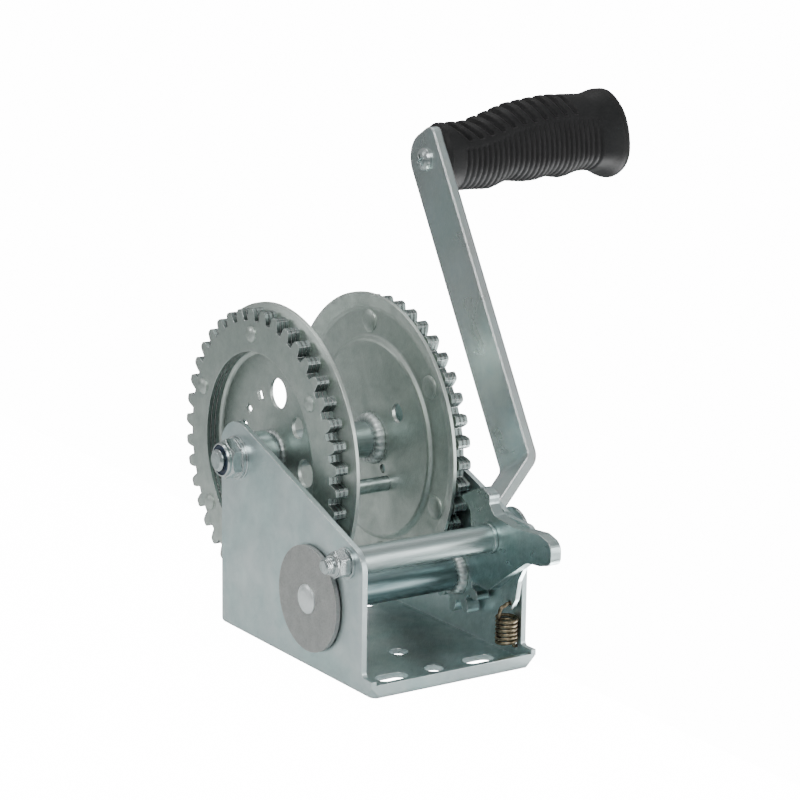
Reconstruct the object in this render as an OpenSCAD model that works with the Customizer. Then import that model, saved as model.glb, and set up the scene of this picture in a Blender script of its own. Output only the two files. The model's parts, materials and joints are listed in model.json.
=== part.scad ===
// Boat trailer winch: a bent sheet frame, a geared strap drum, a crank shaft with pinions and a two-way pawl.
// +X points to the crank side, -Y to the open front, +Z up. The origin is the middle of the base's underside.

/* [Frame] */
// Width over the two side plates
frame_w = 102; // [101:0.5:106]
// Length of the base from its front lip to its rear edge
frame_l = 150; // [148:1:156]
// Thickness of the frame's sheet
sheet = 3; // [2.5:0.1:3.2]
// Outer radius of the bends between the base and the side plates
bend_r = 3.6; // [3.4:0.1:5]
// How far the side plates' front edges stand behind the base's front edge
wall_setback = 9.2; // [7:0.1:12]
// Height of the turned-up lip along the base's front edge
lip_h = 7.8; // [6:0.1:9]
// Height of the low curb that joins the lip to the side plates
curb_h = 10; // [9.5:0.5:12]

/* [Axes] */
// Drum axle, distance behind the middle of the base
axle_y = 57.6; // [56:0.1:58]
// Drum axle, height above the underside
axle_z = 97.2; // [97:0.1:100]
// Tie bolt and pawl pivot, place along the base
tie_y = -51.4; // [-53:0.1:-50]
// Tie bolt and pawl pivot, height above the underside
tie_z = 66.5; // [65:0.1:68]
// Direction from the drum axle to the crank shaft, in degrees from +Y towards +Z
shaft_dir = 217.3; // [217:0.1:218]

/* [Gears] */
// Gear module
gear_m = 3.82; // [3.75:0.01:3.85]
// Thickness of one stamped gear plate
layer_t = 2.45; // [2:0.05:2.5]
// Inner radius of the gear rings
ring_hole_r = 55.5; // [54:0.5:57]
// Rotation of the left gear's teeth
left_phase = 3.2; // [0:0.1:8.9]
// Rotation of the right gear's teeth
right_phase = 8.7; // [0:0.1:8.9]

/* [Drum] */
// Radius of the flanges' rims
flange_r = 81; // [79:0.5:82]
// Thickness of the flanges' sheet
flange_t = 2; // [1.5:0.1:2.5]
// How far the flanges' centres are pressed inwards
dish = 2.2; // [1:0.1:3]
// How far the flanges' rims flare inwards
rim_flare = 3.6; // [3:0.1:5]
// Outer radius of the core tube
core_r = 10; // [9.5:0.1:11]

/* [Crank] */
// Distance from the shaft to the grip's axis
crank_r = 234.7; // [200:0.1:240]
// Width of the crank's flat bar
crank_w = 30.2; // [26:0.1:31]
// Thickness of the crank's flat bar
crank_t = 5.4; // [5:0.1:6.5]
// How far the crank leans back from upright
crank_lean = 30.3; // [25:0.1:35]
// Length of the grip
grip_l = 128.5; // [120:0.5:130]

/* [Pawl] */
// Thickness of the pawl
pawl_t = 6.4; // [5.5:0.1:6.4]

/* [Hidden] */
$fn = 64;

zinc = [0.68, 0.72, 0.73];
steel = [0.58, 0.61, 0.59];
bronze = [0.62, 0.52, 0.33];
wall = frame_w / 2;
inner = wall - sheet;
front = -frame_l / 2;
wall_front = front + wall_setback;

gear_teeth = 40;
pinion_teeth = 10;
pressure = 20;
backlash = 0.5;
gear_tip = gear_teeth * gear_m / 2 + 0.55 * gear_m;
gear_root = gear_teeth * gear_m / 2 - 1.17 * gear_m;
pinion_tip = pinion_teeth * gear_m / 2 + 0.907 * gear_m;
pinion_root = pinion_teeth * gear_m / 2 - 0.9 * gear_m;
centre_distance = (gear_teeth + pinion_teeth) * gear_m / 2;
shaft_y = axle_y + centre_distance * cos(shaft_dir);
shaft_z = axle_z + centre_distance * sin(shaft_dir);

// Where the drum stands between the plates: the flat faces that the gears lie on.
gear_stack = 3 * layer_t;
right_face = inner - 2.35 - gear_stack;
left_face = -inner + 9.4 + gear_stack;
rivet_ring_r = 64.8;
rivet_first = 23.7;
rivet_r = 3;
hub_left = left_face - 2.5;
hub_right = inner - 1.6;

axle_r = 6;
axle_hex_af = 19;
axle_head_h = 7.5;
tie_r = 4;
tie_hex_af = 13;
tie_head_h = 5.3;
tie_hex_h = 6.5;
tie_tube_r = 7.3;
sleeve_r = 6.2;
shaft_r = 9;
bush_r = 11;
bush_collar_r = 14;
bush_collar_t = 1.4;
bush_out = 0.5;
disc_r = 28;
disc_t = 2.5;
fit = 0.05;

strap_bolt_r = 4.2;
strap_bolt_at = 27;
strap_bolt_dir = -124;

// The pawl: a face with its whole outline, and behind it the body, which stands clear of the pinion's teeth.
pawl_x = 36.6;
pawl_face_t = 1.6;
pawl_up = 50;
arm_t = 2.4;
pawl_reach = pinion_tip + 0.65;
spring_y = -61;
spring_x = 42;
spring_r = 5.1;
wire_r = 1;
spring_low = 10.9;
spring_high = 25.5;
spring_hole_z = 8.5;
arm_hole = [-9.8, -34];

crank_in = wall + 3.5;
crank_out = 95.6;
bend_low = 19;
bend_high = 52;
grip_x = crank_out + crank_t + 0.4;
grip_bore_r = 6.08;
grip_cup_r = 10.5;
grip_cup_l = 22;

// Moves its children to a shaft's axis, which runs along X.
module at_axle() { translate([0, axle_y, axle_z]) children(); }
module at_tie() { translate([0, tie_y, tie_z]) children(); }
module at_shaft() { translate([0, shaft_y, shaft_z]) children(); }
module at_crank() { at_shaft() rotate([-crank_lean, 0, 0]) children(); }
module at_grip() { at_crank() translate([0, 0, crank_r]) rotate([crank_lean, 0, 0]) children(); }
module polar_yz(r, a) { translate([0, r * cos(a), r * sin(a)]) children(); }

// A round rod, a tube and a flat shape in the YZ plane, each from x0 to x1 along X.
module rod(x0, x1, r) { translate([x0, 0, 0]) rotate([0, 90, 0]) cylinder(h = x1 - x0, r = r); }
module tube(x0, x1, r, hole) {
    difference() {
        rod(x0, x1, r);
        rod(x0 - 1, x1 + 1, hole);
    }
}
module slab(x0, x1) { translate([x0, 0, 0]) rotate([90, 0, 90]) linear_extrude(x1 - x0) children(); }
// Turns a profile drawn as [radius, x] about the X axis.
module turned() { rotate([0, 90, 0]) rotate_extrude() children(); }

// A polygon's points, each [x, y, radius], with its corners rounded.
function unit(v) = v / norm(v);
function clamp(c) = min(1, max(-1, c));
function corner(a, b, c, r, n) =
    r == 0 ? [b] :
    let (u = unit(a - b), v = unit(c - b), half = acos(clamp(u * v)) / 2)
    let (mid = b + unit(u + v) * r / sin(half))
    let (from = b + u * r / tan(half) - mid, to = b + v * r / tan(half) - mid)
    let (start = atan2(from.y, from.x), sweep = (atan2(to.y, to.x) - start + 540) % 360 - 180)
    [for (i = [0:n]) mid + r * [cos(start + sweep * i / n), sin(start + sweep * i / n)]];
function xy(p) = [p.x, p.y];
function rounded(points, n = 6) = [
    for (i = [0:len(points) - 1])
    each corner(
        xy(points[(i + len(points) - 1) % len(points)]), xy(points[i]), xy(points[(i + 1) % len(points)]),
        points[i].z, n
    )
];

// Involute teeth: half a tooth's angle at a radius, and one tooth's outline from its root up and down again.
function involute(a) = tan(a) - a * PI / 180;
function half_angle(teeth, r) =
    let (pitch_r = teeth * gear_m / 2, base_r = pitch_r * cos(pressure))
    let (half = (PI * gear_m - backlash) / 4 / pitch_r + involute(pressure))
    (half - involute(acos(min(1, base_r / max(r, base_r))))) * 180 / PI;
function tooth(teeth, root, tip, turn) =
    let (step = tip - root, heights = [0, 0.3, 0.6, 0.88], land = half_angle(teeth, tip) * 0.62)
    let (flank = [for (h = heights) [root + h * step, half_angle(teeth, root + h * step)]])
    let (side = concat(flank, [[tip, land]]))
    concat(
        [for (p = side) p.x * [cos(turn - p.y), sin(turn - p.y)]],
        [for (i = [len(side) - 1:-1:0]) side[i].x * [cos(turn + side[i].y), sin(turn + side[i].y)]]
    );
module gear_outline(teeth, root, tip, phase) {
    polygon([for (i = [0:teeth - 1]) each tooth(teeth, root, tip, phase + i * 360 / teeth)]);
}
// A pinion's rotation that puts a gap opposite the tooth that the gear's phase leaves near the centre line.
function pinion_phase(gear_phase) =
    let (pitch = 360 / gear_teeth, off = (gear_phase - shaft_dir) % pitch)
    shaft_dir + 180 - off * gear_teeth / pinion_teeth + 180 / pinion_teeth;

// A solid tube swept along a list of points, with round ends left flat.
function ring_at(points, i, r, sides) =
    let (last = len(points) - 1, run = unit(points[min(i + 1, last)] - points[max(i - 1, 0)]))
    let (u = unit(cross(run, abs(run.z) < 0.8 ? [0, 0, 1] : [0, 1, 0])), v = cross(run, u))
    [for (k = [0:sides - 1]) points[i] + r * (u * cos(360 * k / sides) + v * sin(360 * k / sides))];
module swept(points, r, sides = 8) {
    count = len(points);
    rings = [for (i = [0:count - 1]) each ring_at(points, i, r, sides)];
    walls = [
        for (i = [0:count - 2], k = [0:sides - 1])
        let (n = (k + 1) % sides)
        [i * sides + k, i * sides + n, (i + 1) * sides + n, (i + 1) * sides + k]
    ];
    ends = [[for (k = [sides - 1:-1:0]) k], [for (k = [0:sides - 1]) (count - 1) * sides + k]];
    polyhedron(rings, concat(walls, ends));
}

// Hexagon heads and nuts along X, with their corners turned off at both ends.
module hexagon(x0, x1, af) {
    corner_r = af / 2 / cos(30);
    cut = (corner_r - af / 2) * 0.7;
    intersection() {
        translate([x0, 0, 0]) rotate([0, 90, 0]) cylinder(h = x1 - x0, r = corner_r, $fn = 6);
        turned() polygon([
            [0, x0], [af / 2, x0], [corner_r, x0 + cut], [corner_r, x1 - cut], [af / 2, x1], [0, x1],
        ]);
    }
}

// A bolt's shank from its left end to x1, with the edge of its end turned off.
module shank(end, x1, r, cut) {
    rod(end + cut, x1, r);
    turned() polygon([[0, end], [r - cut, end], [r, end + cut], [0, end + cut]]);
}
// A lock nut's collar, which ends at x1 with its edge turned off by [radius, x].
module nut_collar(x0, x1, r, cut) {
    turned() polygon([[0, x0], [r, x0], [r, x1 + cut.y], [r - cut.x, x1], [0, x1]]);
}

/////////////////////////////////////////////// frame

base_hole_r = 5.1;
base_hole_y = 55.5;
slot_x = 27;
slot_shift = 1;
slot_l = 18.2;
extra_hole = [-0.7, -23.6];
front_r = 3;
corner_cut = 7;

// The side plates' outline: a peak round the axle, a straight slope and a rounded front corner.
peak_r = 19.3;
front_corner_r = 12;
front_corner = [wall_front + front_corner_r, tie_z - 2.4];
slope =
    let (run = [axle_y, axle_z] - front_corner)
    atan2(run.y, run.x) + asin((peak_r - front_corner_r) / norm(run));
rear_angle = acos((frame_l / 2 - axle_y) / peak_r);
function arc_points(centre, r, from, to, n) = [
    for (i = [0:n])
    let (a = from + (to - from) * i / n)
    centre + r * [cos(a), sin(a)]
];
side_outline = concat(
    [[front, 0], [frame_l / 2, 0]],
    arc_points([axle_y, axle_z], peak_r, rear_angle, slope + 90, 12),
    arc_points(front_corner, front_corner_r, slope + 90, 180, 10),
    [[wall_front, curb_h + 2]],
    arc_points([wall_front - 2, curb_h + 2], 2, 0, -90, 4),
    [[front, curb_h]]
);

// Half of a channel's cross-section: a block with its lower corners rounded.
module trough(half, low, high, r) {
    translate([-half + r, low]) square([2 * (half - r), r]);
    translate([-half, low + r]) square([2 * half, high - low - r]);
    for (side = [-1, 1]) translate([side * (half - r), low + r]) circle(r);
}
module base_hole(x, y) { translate([x, y, -1]) cylinder(h = sheet + 2, r = base_hole_r); }
module base_slot(x, y) {
    straight = slot_l - 2 * base_hole_r;
    for (end = [-0.5, 0.5]) base_hole(x + end * straight, y);
    translate([x - straight / 2, y - base_hole_r, -1]) cube([straight, 2 * base_hole_r, sheet + 2]);
}
module base_holes() {
    for (y = [-base_hole_y, base_hole_y]) {
        base_hole(0, y);
        for (x = [-slot_x, slot_x]) base_slot(x + slot_shift, y);
    }
    base_hole(extra_hole.x, extra_hole.y);
}
// An XZ outline drawn out from y0 to y1.
module along_y(y0, y1) { translate([0, y1, 0]) rotate([90, 0, 0]) linear_extrude(y1 - y0) children(); }
// The bent sheet, whose front is closed up to the lip.
module channel() {
    difference() {
        intersection() {
            along_y(front, frame_l / 2) trough(wall, 0, 150, bend_r);
            slab(-wall - 1, wall + 1) polygon(side_outline);
        }
        along_y(front + sheet, frame_l / 2 + 1) trough(inner, sheet, 151, bend_r - sheet);
        translate([-inner, front - 1, lip_h]) cube([2 * inner, sheet + 2, 150]);
    }
}
module front_rounding() {
    slab(-wall - 1, wall + 1) difference() {
        translate([front - 1, -1]) square(front_r + 1);
        translate([front + front_r, front_r]) circle(front_r);
    }
}
// Cuts off the point where the base's front, side and underside meet.
module front_corner_cut(side) {
    reach = corner_cut + 3;
    tip = [side * (wall + 1), front - 1, -1];
    points = [tip, tip - [side * reach, 0, 0], tip + [0, reach, 0], tip + [0, 0, reach]];
    faces = [[1, 2, 3], [0, 2, 1], [0, 3, 2], [0, 1, 3]];
    polyhedron(points, side > 0 ? faces : [for (f = faces) [f[2], f[1], f[0]]]);
}
module frame() {
    color(zinc) difference() {
        channel();
        front_rounding();
        for (side = [-1, 1]) front_corner_cut(side);
        base_holes();
        at_axle() rod(-wall - 1, wall + 1, axle_r + 0.1);
        at_tie() rod(-wall - 1, wall + 1, tie_r + 0.2);
        at_shaft() rod(-wall - 1, wall + 1, bush_r);
        translate([0, spring_y, spring_hole_z]) rod(inner - 3, wall + 1, arm_hole_r);
    }
}

/////////////////////////////////////////////// axle, tie bolt and bushes

axle_washer_t = 1.2;
axle_head_x = wall + 2;
axle_end = -wall - 13.8;
axle_nut_x = -wall - axle_washer_t;
axle_nut_h = 9.8;
axle_hex_h = 7.4;
lip_r = 8.2;
insert_x = axle_nut_x - 7.2;
insert_t = 1.6;
module axle_bolt() {
    color(zinc) at_axle() {
        shank(axle_end, axle_head_x + 1, axle_r, 1.2);
        hexagon(axle_head_x, axle_head_x + axle_head_h, axle_hex_af);
    }
}
module axle_nut() {
    color(zinc) at_axle() difference() {
        union() {
            rod(axle_nut_x - 1.6, axle_nut_x, 11.2);
            hexagon(axle_nut_x - axle_hex_h, axle_nut_x - 1, axle_hex_af);
            nut_collar(axle_nut_x - 7, axle_nut_x - axle_nut_h, lip_r + 1, [0.4, 0.8]);
        }
        rod(axle_end, axle_nut_x + 1, axle_r);
        rod(axle_end, insert_x, lip_r);
    }
}
module axle_nut_insert() {
    color([0.08, 0.13, 0.26]) at_axle() tube(insert_x - insert_t, insert_x, lip_r, axle_r);
}
module axle_washers() {
    color(zinc) at_axle() {
        tube(axle_nut_x, -wall, 11.9, axle_r);
        tube(wall, axle_head_x, 12, axle_r);
    }
}
module drum_spacer() { color(steel) at_axle() tube(-inner, hub_left - 0.2, 12.4, axle_r + 0.1); }
module drum_thrust_washer() { color(steel) at_axle() tube(hub_right + 0.2, inner, 12, axle_r + 0.1); }

tie_washer_t = 1.6;
tie_head = wall + tie_washer_t;
tie_seat = -wall - tie_washer_t;
tie_end = tie_seat - 12.9;
tie_nut_h = 8.4;
module tie_bolt() {
    color(zinc) at_tie() {
        shank(tie_end, tie_head + 1, tie_r, 1);
        hexagon(tie_head, tie_head + tie_head_h, tie_hex_af);
    }
}
module tie_nut() {
    color(zinc) at_tie() difference() {
        union() {
            hexagon(tie_seat - tie_hex_h, tie_seat, tie_hex_af);
            nut_collar(tie_seat - 6.2, tie_seat - tie_nut_h, 6.2, [1, 1]);
        }
        rod(tie_end, tie_seat + 1, tie_r);
    }
}
module tie_washers() {
    color(zinc) at_tie() {
        tube(tie_seat, -wall, 8.2, tie_r);
        tube(wall, tie_head, 14.5, tie_r);
    }
}
shoulder_t = 2;
module tie_tube() { color(zinc) at_tie() tube(-inner, pawl_x - shoulder_t, tie_tube_r, tie_r + 0.2); }
// The sleeve that the pawl turns on, with a thin shoulder against the tie tube.
module pawl_sleeve() {
    color(steel) at_tie() difference() {
        union() {
            rod(pawl_x - shoulder_t, pawl_x - 0.2, 8.4);
            rod(pawl_x - 0.3, inner, sleeve_r);
        }
        rod(pawl_x - shoulder_t - 1, inner + 1, tie_r + 0.2);
    }
}
module pawl_washer() { color(steel) at_tie() tube(pawl_x + pawl_t + arm_t + 0.2, inner, 12.4, sleeve_r); }

module shaft_bush(side) {
    color(bronze) at_shaft() mirror([side < 0 ? 1 : 0, 0, 0]) difference() {
        union() {
            rod(inner - bush_collar_t, inner, bush_collar_r);
            rod(inner - 1, wall + bush_out, bush_r);
        }
        rod(inner - 2, wall + 2, shaft_r + fit);
    }
}
module shaft_bush_left() { shaft_bush(-1); }
module shaft_bush_right() { shaft_bush(1); }

/////////////////////////////////////////////// drum

bend_line_r = 53.8;
// The flanges' section as [radius, x], with x counted inwards from the gear's side:
// a dished centre, a flat ring and a flared rim.
module flange_section(hole) {
    face = [
        [hole, dish], [bend_line_r, dish], [bend_line_r + 1.2, dish - 0.5], [bend_line_r + 2.6, 0.3],
        [bend_line_r + 3.6, 0], [71, 0], [73, 0.4],
        [flange_r - 1, rim_flare - 0.4], [flange_r, rim_flare],
    ];
    back = [for (i = [len(face) - 1:-1:0]) face[i] + [0, flange_t]];
    polygon(concat(face, back));
}
module rivet_places() { for (i = [0:5]) polar_yz(rivet_ring_r, rivet_first + i * 60) children(); }
// Holes through both faces of a flange near x: round ones, and a square one at a direction.
module flange_hole(x, at, a, r) { polar_yz(at, a) rod(x - 8, x + 8, r); }
module square_hole(x, a) { rotate([a, 0, 0]) translate([x - 8, 32 - 2.4, -2.4]) cube([16, 4.8, 4.8]); }

module flange_left() {
    color(steel) at_axle() difference() {
        translate([left_face, 0, 0]) turned() flange_section(core_r);
        rivet_places() rod(left_face - 5, left_face + 5, rivet_r);
        flange_hole(left_face, 33.6, 98, 8.3);
        flange_hole(left_face, 31.1, 143, 5.8);
        flange_hole(left_face, 33.3, 187.7, 7.6);
        for (a = [64, 36, 16]) square_hole(left_face, a);
        flange_hole(left_face, strap_bolt_at, strap_bolt_dir, strap_bolt_r);
    }
}
module flange_right() {
    color(steel) at_axle() difference() {
        translate([right_face, 0, 0]) mirror([1, 0, 0]) turned() flange_section(core_r);
        rivet_places() rod(right_face - 5, right_face + 5, rivet_r);
        flange_hole(right_face, 31.4, 142.5, 5.2);
        flange_hole(right_face, 18.6, -126, 2.6);
        flange_hole(right_face, strap_bolt_at, strap_bolt_dir, strap_bolt_r);
    }
}

module gear_plate(x0, phase) {
    color(steel) at_axle() difference() {
        slab(x0, x0 + layer_t) gear_outline(gear_teeth, gear_root, gear_tip, phase);
        rod(x0 - 1, x0 + layer_t + 1, ring_hole_r);
        rivet_places() rod(x0 - 1, x0 + layer_t + 1, rivet_r);
    }
}
module gear_left_inner() { gear_plate(left_face - layer_t, left_phase); }
module gear_left_middle() { gear_plate(left_face - 2 * layer_t, left_phase); }
module gear_left_outer() { gear_plate(left_face - 3 * layer_t, left_phase); }
module gear_right_inner() { gear_plate(right_face, right_phase); }
module gear_right_middle() { gear_plate(right_face + layer_t, right_phase); }
module gear_right_outer() { gear_plate(right_face + 2 * layer_t, right_phase); }

// A rivet through a gear stack and its flange: a small formed head outside, a broad low head inside.
module dome(r, h) {
    polygon([[0, 0], [r, 0], [r, h * 0.3], [r * 0.86, h * 0.62], [r * 0.6, h * 0.88], [r * 0.3, h], [0, h]]);
}
module rivet() {
    rod(-flange_t, gear_stack, rivet_r);
    translate([gear_stack, 0, 0]) turned() dome(4.4, 2);
    translate([-flange_t, 0, 0]) mirror([1, 0, 0]) turned() dome(6.5, 1.7);
}
module rivets_left() {
    color(zinc) at_axle() rivet_places() translate([left_face, 0, 0]) mirror([1, 0, 0]) rivet();
}
module rivets_right() { color(zinc) at_axle() rivet_places() translate([right_face, 0, 0]) rivet(); }

core_bore_r = 8;
drum_bush_l = 14;
module core_tube() { color(zinc) at_axle() tube(hub_left, hub_right, core_r, core_bore_r); }
// A bead round the core tube, as [radius, x] from the face that it stands on.
module bead(r, h) {
    turned() polygon([
        [core_r, 0], [core_r + r, 0], [core_r + r * 0.96, h * 0.4], [core_r + r * 0.62, h * 0.8],
        [core_r + r * 0.24, h * 0.97], [core_r, h],
    ]);
}
module weld_beads() {
    color([0.6, 0.62, 0.6]) at_axle() {
        translate([left_face + dish + flange_t, 0, 0]) bead(3.9, 3.6);
        translate([left_face + dish, 0, 0]) mirror([1, 0, 0]) bead(2.4, 2.2);
        translate([right_face - dish - flange_t, 0, 0]) mirror([1, 0, 0]) bead(4.3, 5.4);
        translate([right_face - dish, 0, 0]) bead(2.4, 2.2);
    }
}
module drum_bush(x0) { color(bronze) at_axle() tube(x0, x0 + drum_bush_l, core_bore_r, axle_r + fit); }
module drum_bush_left() { drum_bush(hub_left); }
module drum_bush_right() { drum_bush(hub_right - drum_bush_l); }

strap_seat_left = left_face + dish;
strap_seat_right = right_face - dish;
module strap_bolt() {
    color(zinc) at_axle() polar_yz(strap_bolt_at, strap_bolt_dir) {
        rod(strap_seat_left - 7.4, strap_seat_right + 1, strap_bolt_r);
        hexagon(strap_seat_right, strap_seat_right + tie_head_h, tie_hex_af);
    }
}
module strap_nut() {
    color(zinc) at_axle() polar_yz(strap_bolt_at, strap_bolt_dir) difference() {
        hexagon(strap_seat_left - tie_hex_h, strap_seat_left, tie_hex_af);
        rod(strap_seat_left - 8, strap_seat_left + 1, strap_bolt_r);
    }
}

/////////////////////////////////////////////// crank shaft, crank and grip

disc_x = -wall - 0.7;
flat_half = 6;
flat_end_r = 7.6;
thread_r = 6;
crank_back = crank_in + crank_t;
// The shaft's seat in the crank's bar: round, with two flats.
module flat_end(x0, x1) {
    intersection() {
        rod(x0, x1, flat_end_r);
        translate([x0 - 1, -20, -flat_half]) cube([x1 - x0 + 2, 40, 2 * flat_half]);
    }
}
module crank_shaft() {
    color(zinc) at_shaft() {
        rod(disc_x, crank_in, shaft_r);
        rod(disc_x - disc_t, disc_x, 7);
        translate([disc_x - disc_t, 0, 0]) mirror([1, 0, 0]) turned() dome(7.8, 2.4);
        rotate([-crank_lean, 0, 0]) flat_end(crank_in - 0.1, crank_back);
        rod(crank_back - 0.1, crank_back + 13.5, thread_r);
    }
}
module pinion(x0, x1, phase) {
    color(steel) at_shaft() difference() {
        slab(x0, x1) gear_outline(pinion_teeth, pinion_root, pinion_tip, pinion_phase(phase));
        rod(x0 - 1, x1 + 1, shaft_r);
    }
}
pinion_right_x = right_face + 0.3;
module pinion_right() { pinion(pinion_right_x, inner - 1.7, right_phase); }
module pinion_left() { pinion(-inner + 6.2, left_face - 0.3, left_phase); }
module shaft_collar() {
    color(zinc) at_shaft() {
        tube(pinion_right_x - 5, pinion_right_x, 11.8, shaft_r);
        tube(-inner + 1.7, -inner + 6.2, 11.8, shaft_r);
    }
}
module end_disc() { color([0.6, 0.61, 0.6]) at_shaft() tube(disc_x - disc_t, disc_x, disc_r, 7); }

// The crank's bar seen from its edge: flat at the shaft, slanted outwards, then flat along the handle.
module crank_bar() {
    tilt = atan((crank_out - crank_in) / (bend_high - bend_low));
    miter = crank_t / 2 * tan(tilt / 2);
    tip = crank_r + crank_w / 2 + 1;
    rotate([90, 0, 0]) linear_extrude(crank_w, center = true) polygon(rounded([
        [crank_in, -crank_w / 2 - 1, 0],
        [crank_in, bend_low + miter, 11],
        [crank_out, bend_high + miter, 5],
        [crank_out, tip, 0],
        [crank_out + crank_t, tip, 0],
        [crank_out + crank_t, bend_high - miter, 11],
        [crank_back, bend_low - miter, 5],
        [crank_back, -crank_w / 2 - 1, 0],
    ]));
}
// The bar's upper end: round to the rear, nearly square to the front.
module crank_end() {
    half = crank_w / 2;
    rod(crank_in - 1, crank_out + crank_t + 1, half);
    slab(crank_in - 1, crank_out + crank_t + 1)
        polygon(rounded([[0, 0, 0], [0, half, 0], [-half, half, 5], [-half, 0, 0]]));
}
module crank_arm() {
    color(zinc) at_crank() difference() {
        intersection() {
            crank_bar();
            union() {
                rod(crank_in - 1, crank_out + crank_t + 1, crank_w / 2);
                translate([0, 0, crank_r]) crank_end();
                translate([crank_in - 1, -crank_w / 2, 0])
                    cube([crank_out - crank_in + crank_t + 2, crank_w, crank_r]);
            }
        }
        flat_end(crank_in - 1, crank_back + 1);
        translate([0, 0, crank_r]) rod(crank_out - 1, crank_out + crank_t + 1, tie_r);
    }
}
module crank_washer() { color(zinc) at_shaft() tube(crank_back, crank_back + 2, 12, thread_r); }
module crank_nut() {
    color(zinc) at_shaft() difference() {
        hexagon(crank_back + 2, crank_back + 12, axle_hex_af);
        rod(crank_back + 1, crank_back + 13, thread_r);
    }
}

grip_nut_x = grip_x + grip_l - grip_cup_l + 1.6;
module grip_screw() {
    color(zinc) at_grip() {
        difference() {
            translate([crank_out, 0, 0]) mirror([1, 0, 0]) turned() dome(6.6, 3.6);
            for (a = [0, 90])
                rotate([a - crank_lean, 0, 0]) translate([crank_out - 5, -3.6, -0.8]) cube([3.6, 7.2, 1.6]);
        }
        rod(crank_out - 0.5, grip_nut_x + 9, tie_r);
    }
}
module grip_sleeve() { color(steel) at_grip() tube(crank_out + crank_t, grip_nut_x - 1.4, 6, tie_r); }
module grip_nut() {
    color(zinc) at_grip() difference() {
        union() {
            rod(grip_nut_x - 1.4, grip_nut_x + 0.2, 8.2);
            hexagon(grip_nut_x, grip_nut_x + 7.5, tie_hex_af);
        }
        rod(grip_nut_x - 2, grip_nut_x + 10, tie_r);
    }
}

// The grip's height above and depth below its axis, and its half width, along a grip 127 long.
grip_top = [
    [0, 20.4], [20, 20.4], [34, 24.5], [48, 29], [62, 31], [76, 32.5], [102, 31.6], [111, 34],
    [119, 34], [124.5, 28.5], [127, 15],
];
grip_low = [
    [0, 19.2], [23, 19.1], [35, 19.7], [45, 15.6], [59, 17.1], [66, 16.9], [74, 14.9], [85, 16.7], [94, 13.7],
    [102, 13.3], [110, 14.3], [116, 17.7], [120, 19.5], [124.5, 17.5], [127, 12.5],
];
grip_side = [[0, 16], [18, 17.4], [62, 19.2], [100, 18.7], [110, 21.7], [119, 23.7], [124.5, 20], [127, 13]];
// The mean of the table a little before, at and after a place, which rounds its corners.
function soft(x, table) = (lookup(x - 2.5, table) + 2 * lookup(x, table) + lookup(x + 2.5, table)) / 4;
module grip_body() {
    sides = 28;
    stations = concat([for (i = [0:30]) i * 4], [grip_l - 4, grip_l - 1.5, grip_l]);
    rings = [
        for (s = stations)
        let (x = s * 127 / grip_l)
        let (top = soft(x, grip_top), low = soft(x, grip_low), side = soft(x, grip_side))
        for (k = [0:sides - 1])
        let (a = 360 * k / sides)
        [grip_x + s, side * cos(a), (sin(a) > 0 ? top : low) * sin(a)]
    ];
    last = len(stations) - 1;
    walls = [
        for (i = [0:last - 1], k = [0:sides - 1])
        let (n = (k + 1) % sides)
        [i * sides + k, i * sides + n, (i + 1) * sides + n, (i + 1) * sides + k]
    ];
    ends = [[for (k = [sides - 1:-1:0]) k], [for (k = [0:sides - 1]) last * sides + k]];
    polyhedron(rings, concat(walls, ends));
}
module grip() {
    color([0.16, 0.16, 0.16]) at_grip() difference() {
        grip_body();
        rod(grip_x - 1, grip_x + grip_l - 10, grip_bore_r);
        rod(grip_x + grip_l - grip_cup_l, grip_x + grip_l + 1, grip_cup_r);
    }
}
module grip_plug() {
    color([0.12, 0.12, 0.12]) at_grip() rod(grip_x + grip_l - 7, grip_x + grip_l - 2, grip_cup_r);
}

/////////////////////////////////////////////// pawl

// Outlines round the pivot as [to the rear, up, corner radius].
pawl_outline = [
    [26.4, 17, 0.8], [8, 25.6, 5], [0.4, 23, 3], [0.6, 18, 2], [-4, 13, 3], [-22, 10.6, 8], [-43, 12.4, 6],
    [-53.4, 9.4, 6], [-53.4, -1.6, 4], [-44, -4.2, 6], [-33, -5.2, 8], [-14, -18.2, 10], [0.5, -29.2, 9],
    [17, -27.4, 6.5], [18.2, -17.6, 3], [16.4, -14, 4], [17.2, 10.5, 5],
];
arm_outline = [
    [-10, 12.6, 4], [-26, 12, 5], [-34, 6, 5], [-33, -4, 4], [-24, -9, 3], [-17.6, -20, 6], [-15.4, -31, 4],
    [-10.6, -38.4, 3.5], [-5.5, -37.6, 3.5], [-2, -27, 6], [11, -8, 6], [11, 6, 6], [3, 12.6, 5],
];
pawl_rivet_at = [[-17, -3], [-27, 4]];
pawl_rivet_r = 2;
pawl_rivet_depth = 4;
arm_hole_r = 1.9;
arm_x = pawl_x + pawl_t;
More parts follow.
